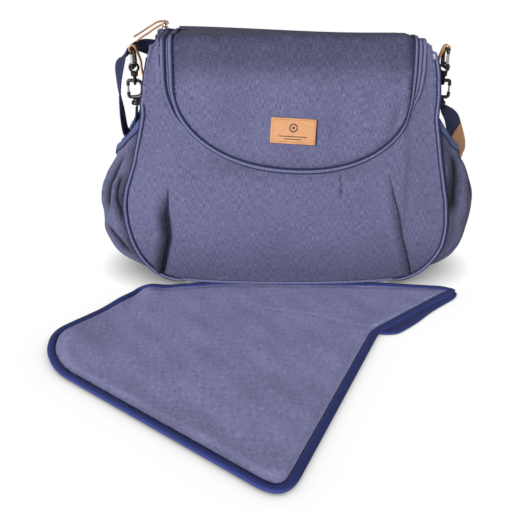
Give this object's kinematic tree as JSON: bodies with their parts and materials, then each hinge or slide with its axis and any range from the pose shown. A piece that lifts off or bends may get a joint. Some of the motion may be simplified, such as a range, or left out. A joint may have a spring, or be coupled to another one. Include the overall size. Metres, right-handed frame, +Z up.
{
  "type": "diaper bag",
  "caption": "Soft shoulder bag for baby things with a rounded zipped lid under a flap, side pockets, snap hooks, a webbing strap and a changing mat laid in front.",
  "frame": {"origin": "the centre of the bag's flat base, on the surface it stands on", "axes": "+Z up, the bag's front with its flap and label faces -Y, +X to the viewer's right"},
  "size_m": [0.4787, 0.4947, 0.2956],
  "materials": {
    "denim_fabric": "heathered woven polyester, matt",
    "ribbed_binding": "ribbed knit band",
    "navy_trim": "folded woven tape",
    "webbing": "woven webbing",
    "zip_navy": "woven nylon tape with a nylon coil",
    "lining_fabric": "smooth satin lining",
    "tan_leather": "smooth matt leather",
    "brown_leather": "waxed cord leather",
    "black_plastic": "moulded satin",
    "silver_metal": "nickel plated",
    "base_board": "stiffening board"
  },
  "bodies": {
    "bag": {"front_panel": "denim_fabric", "back_panel": "denim_fabric", "left_gusset": "denim_fabric", "right_gusset": "denim_fabric", "base_panel": "denim_fabric", "left_pocket": "denim_fabric", "right_pocket": "denim_fabric", "front_piping": "denim_fabric", "back_piping": "denim_fabric", "left_pocket_binding": "ribbed_binding", "right_pocket_binding": "ribbed_binding", "shoulder_strap": "webbing", "zip_tape_body": "zip_navy", "zip_coil_body": "zip_navy", "lining_front": "lining_fabric", "lining_back": "lining_fabric", "lining_left": "lining_fabric", "lining_right": "lining_fabric", "inner_pocket": "lining_fabric", "leather_loop_left": "tan_leather", "leather_loop_right": "tan_leather", "strap_patch": "tan_leather", "upper_hook_left": "black_plastic", "upper_hook_right": "black_plastic", "hook_swivel_left": "black_plastic", "hook_swivel_right": "black_plastic", "strap_collar_left": "black_plastic", "strap_collar_right": "black_plastic", "loop_rivet_left": "silver_metal", "loop_rivet_right": "silver_metal", "base_board": "base_board"},
    "lid": {"lid_panel": "denim_fabric", "flap": "denim_fabric", "flap_lining": "lining_fabric", "flap_piping": "denim_fabric", "label_plate": "tan_leather", "zip_tape_lid": "zip_navy", "zip_coil_lid": "zip_navy"},
    "slider": {"zip_slider": "silver_metal", "slider_bail": "silver_metal"},
    "pull": {"zip_pull": "brown_leather"},
    "upper_gate_left": {"upper_gate_left": "silver_metal"},
    "upper_gate_right": {"upper_gate_right": "silver_metal"},
    "lower_hook_left": {"lower_hook_left": "black_plastic"},
    "lower_hook_right": {"lower_hook_right": "black_plastic"},
    "lower_gate_left": {"lower_gate_left": "silver_metal"},
    "lower_gate_right": {"lower_gate_right": "silver_metal"},
    "adjuster": {"strap_adjuster": "black_plastic"},
    "mat": {"mat_upper_panel": "denim_fabric", "mat_upper_binding": "navy_trim", "mat_under_panel": "lining_fabric", "mat_under_binding": "navy_trim"}
  },
  "joints": [
    {"name": "lid_hinge", "type": "hinge", "parent": "bag", "child": "lid", "pos_m": [0, 0.04, 0.28], "axis": [-1, 0, 0], "range_deg": [0, 150]},
    {"name": "zip_slide", "type": "slide", "parent": "bag", "child": "slider", "axis": [0, -1, 0], "range_m": [0, 0.038]},
    {"name": "pull_hinge", "type": "hinge", "parent": "slider", "child": "pull", "pos_m": [-0.1409, 0.018, 0.2924], "axis": [0, 1, 0], "range_deg": [0, 100]},
    {"name": "upper_gate_left_hinge", "type": "hinge", "parent": "bag", "child": "upper_gate_left", "pos_m": [-0.1765, -0.0105, 0.2516], "axis": [-1, 0, 0], "range_deg": [0, 16], "stiffness_Nm_per_rad": 0.02, "springref_deg": -11.46},
    {"name": "lower_swivel_left", "type": "hinge", "parent": "bag", "child": "lower_hook_left", "pos_m": [-0.1765, 0, 0.212], "axis": [0, 0, 1], "range_deg": [-15, 15]},
    {"name": "lower_gate_left_hinge", "type": "hinge", "parent": "lower_hook_left", "child": "lower_gate_left", "pos_m": [-0.1847, 0, 0.2182], "axis": [0, 1, 0], "range_deg": [0, 20], "stiffness_Nm_per_rad": 0.02, "springref_deg": -11.46},
    {"name": "upper_gate_right_hinge", "type": "hinge", "parent": "bag", "child": "upper_gate_right", "pos_m": [0.1765, -0.0105, 0.2516], "axis": [-1, 0, 0], "range_deg": [0, 16], "stiffness_Nm_per_rad": 0.02, "springref_deg": -11.46},
    {"name": "lower_swivel_right", "type": "hinge", "parent": "bag", "child": "lower_hook_right", "pos_m": [0.1765, 0, 0.212], "axis": [0, 0, 1], "range_deg": [-15, 15]},
    {"name": "lower_gate_right_hinge", "type": "hinge", "parent": "lower_hook_right", "child": "lower_gate_right", "pos_m": [0.1847, 0, 0.2182], "axis": [0, -1, 0], "range_deg": [0, 20], "stiffness_Nm_per_rad": 0.02, "springref_deg": -11.46},
    {"name": "adjuster_slide", "type": "slide", "parent": "bag", "child": "adjuster", "axis": [0.7907, 0.0857, -0.6062], "range_m": [-0.02, 0.02]},
    {"name": "mat_slide", "type": "slide", "parent": "bag", "child": "mat", "axis": [0, -1, 0], "range_m": [0, 0.25]}
  ]
}
